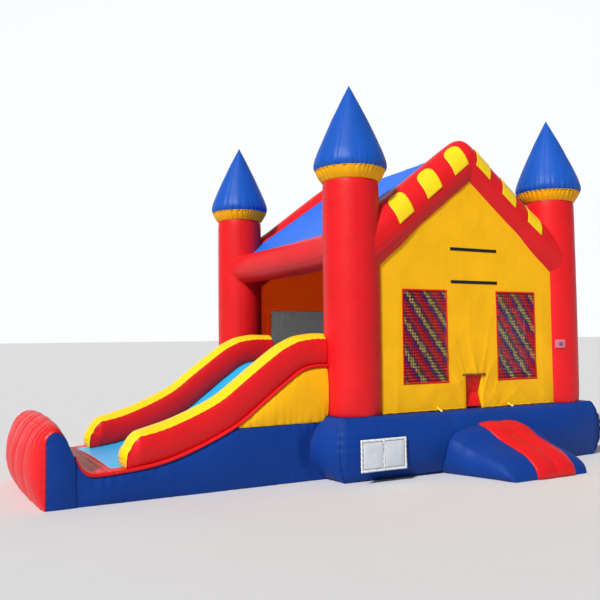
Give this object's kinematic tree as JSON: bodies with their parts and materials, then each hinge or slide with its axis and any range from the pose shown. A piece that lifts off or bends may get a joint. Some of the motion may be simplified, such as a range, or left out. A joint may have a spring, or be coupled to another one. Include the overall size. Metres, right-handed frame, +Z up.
{
  "type": "inflatable bounce house",
  "caption": "Castle-shaped inflatable bounce house with a side slide, entry ramp, net windows and an air blower behind it.",
  "frame": {"origin": "on the ground under the middle of the house, on the flat underside of the base", "axes": "+X to the right along the front wall, which is the longest side because the slide runs out to -X; +Y from the front wall to the back; +Z up"},
  "size_m": [7.07, 5.9238, 4.288],
  "materials": {
    "vinyl_red": "satin",
    "vinyl_blue": "satin",
    "vinyl_bright_blue": "satin",
    "vinyl_roof_blue": "satin",
    "vinyl_yellow": "satin",
    "vinyl_sky_blue": "gloss",
    "rainbow_net": "matte",
    "dark_mesh": "matte",
    "black_webbing": "matte",
    "white_vinyl": "satin",
    "baffle_cloth": "matte",
    "blower_plastic": "matte",
    "impeller_plastic": "matte",
    "motor_metal": "satin",
    "foot_rubber": "matte",
    "switch_red": "gloss",
    "steel": "satin"
  },
  "bodies": {
    "house": {"anchor_tab_left": "black_webbing", "anchor_tab_right": "black_webbing", "banner_strip_lower": "black_webbing", "banner_strip_upper": "black_webbing", "base_mattress": "vinyl_blue", "blower_foot_left": "foot_rubber", "blower_foot_right": "foot_rubber", "blower_handle": "blower_plastic", "blower_housing_left": "blower_plastic", "blower_housing_right": "blower_plastic", "blower_inlet_grille": "blower_plastic", "blower_motor": "motor_metal", "climb_steps": "vinyl_bright_blue", "collar_front_left": "vinyl_yellow", "collar_front_right": "vinyl_yellow", "collar_rear_left": "vinyl_yellow", "collar_rear_right": "vinyl_yellow", "column_front_left": "vinyl_red", "column_front_right": "vinyl_red", "column_rear_left": "vinyl_red", "column_rear_right": "vinyl_red", "deflation_zip_tape": "black_webbing", "floor_baffle_left": "baffle_cloth", "floor_baffle_right": "baffle_cloth", "front_arch": "vinyl_red", "front_wall": "vinyl_yellow", "front_window_net_left": "rainbow_net", "front_window_net_right": "rainbow_net", "inflation_sleeve": "vinyl_blue", "label_pouch": "white_vinyl", "landing_pad": "vinyl_red", "left_beam": "vinyl_red", "left_low_wall": "vinyl_yellow", "power_inlet_box": "blower_plastic", "ramp_body": "vinyl_blue", "ramp_tread": "vinyl_red", "rear_arch": "vinyl_red", "rear_wall": "vinyl_yellow", "rear_window_mesh": "dark_mesh", "right_beam": "vinyl_red", "right_wall": "vinyl_yellow", "right_window_mesh": "dark_mesh", "roof_cover": "vinyl_roof_blue", "sleeve_strap": "black_webbing", "slide_base": "vinyl_blue", "slide_bed": "vinyl_sky_blue", "slide_rail_far": "vinyl_red", "slide_rail_near": "vinyl_red", "slide_shoulder": "vinyl_yellow", "spire_front_left": "vinyl_bright_blue", "spire_front_right": "vinyl_bright_blue", "spire_rear_left": "vinyl_bright_blue", "spire_rear_right": "vinyl_bright_blue", "stop_wall": "vinyl_red"},
    "door_flap": {"door_flap": "vinyl_red"},
    "impeller": {"blower_impeller": "impeller_plastic"},
    "switch": {"switch_rocker": "switch_red"},
    "zip_pull": {"zip_slider": "steel"},
    "ring_left": {"anchor_ring_left": "steel"},
    "ring_right": {"anchor_ring_right": "steel"}
  },
  "joints": [
    {"name": "flap_hinge", "type": "hinge", "parent": "house", "child": "door_flap", "pos_m": [0, -1.725, 1.036], "axis": [1, 0, 0], "range_deg": [-75, 80]},
    {"name": "impeller_spin", "type": "hinge", "parent": "house", "child": "impeller", "pos_m": [0.9, 3, 0.24], "axis": [1, 0, 0], "continuous": true},
    {"name": "switch_rock", "type": "hinge", "parent": "house", "child": "switch", "pos_m": [0.6747, 3, 0.358], "axis": [1, 0, 0], "range_deg": [-8, 8]},
    {"name": "zip_slide", "type": "slide", "parent": "house", "child": "zip_pull", "axis": [1, 0, 0], "range_m": [0, 0.46]},
    {"name": "ring_left_hinge", "type": "hinge", "parent": "house", "child": "ring_left", "pos_m": [-1.56, 1.93, 0.0096], "axis": [1, 0, 0], "range_deg": [-4, 95]},
    {"name": "ring_right_hinge", "type": "hinge", "parent": "house", "child": "ring_right", "pos_m": [1.56, 1.93, 0.0096], "axis": [1, 0, 0], "range_deg": [-4, 95]}
  ]
}
